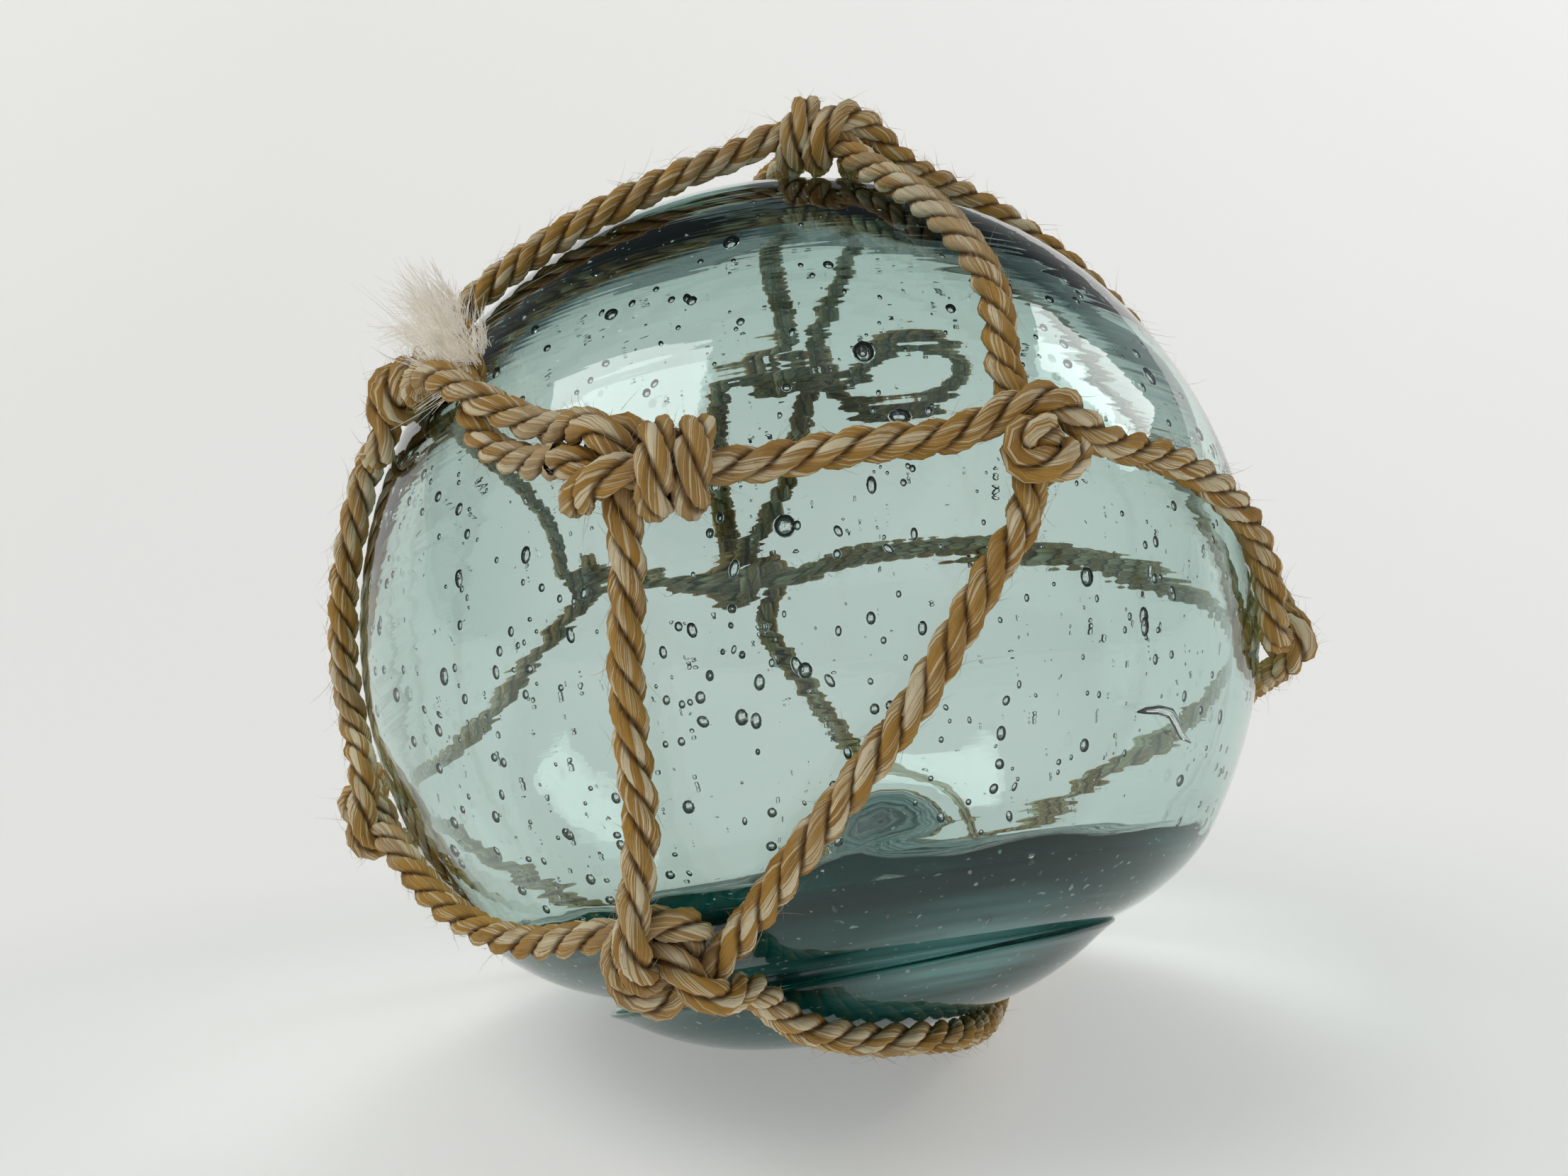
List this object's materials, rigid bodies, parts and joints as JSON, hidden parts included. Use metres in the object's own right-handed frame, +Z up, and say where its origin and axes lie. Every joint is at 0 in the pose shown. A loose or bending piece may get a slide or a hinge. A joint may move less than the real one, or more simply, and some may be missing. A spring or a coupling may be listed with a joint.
{
  "type": "netted glass fishing float",
  "caption": "Small hollow blown glass ball with a seal, held in a hand-knotted net of laid cord, as used for floating nets and as an ornament.",
  "frame": {"origin": "middle of the small flat spot on the underside of the glass, on the surface that the float stands on", "axes": "+Z up through the ball's centre, -Y the pictured front, +X to the right of it"},
  "size_m": [0.1037, 0.1034, 0.0975],
  "materials": {
    "glass": "clear pale blue-green blown glass, darker where it is thick",
    "cord": "three-strand laid natural fibre cord, golden brown, worn",
    "frayed_cord": "loose end of the same cord, frayed to pale fibres"
  },
  "bodies": {
    "root": {"glass_float": "glass", "knot_top": "cord", "knot_front_right": "cord", "knot_front_left": "cord", "knot_left": "cord", "knot_front_low": "cord", "knot_left_low": "cord", "knot_right": "cord", "knot_back_left": "cord", "knot_back": "cord", "knot_back_high": "cord", "knot_back_low": "cord", "cord_top_to_front_right": "cord", "cord_top_to_left": "cord", "cord_top_to_right": "cord", "cord_top_to_back_near": "cord", "cord_top_to_back_far": "cord", "cord_front_right_to_left": "cord", "cord_front_left_to_left": "cord", "cord_front_right_to_right": "cord", "cord_left_to_back_left": "cord", "cord_back_left_to_back": "cord", "cord_back_to_right": "cord", "cord_back_high_to_back": "cord", "cord_front_left_down": "cord", "cord_front_right_down": "cord", "cord_left_down": "cord", "cord_back_left_down": "cord", "cord_back_down": "cord", "cord_right_down": "cord", "cord_left_low_to_front_low": "cord", "cord_under_seal": "cord", "cord_left_low_to_back_low": "cord", "spare_cord_back": "cord", "spare_loop_back": "cord", "loose_end_frayed": "frayed_cord"}
  },
  "joints": []
}
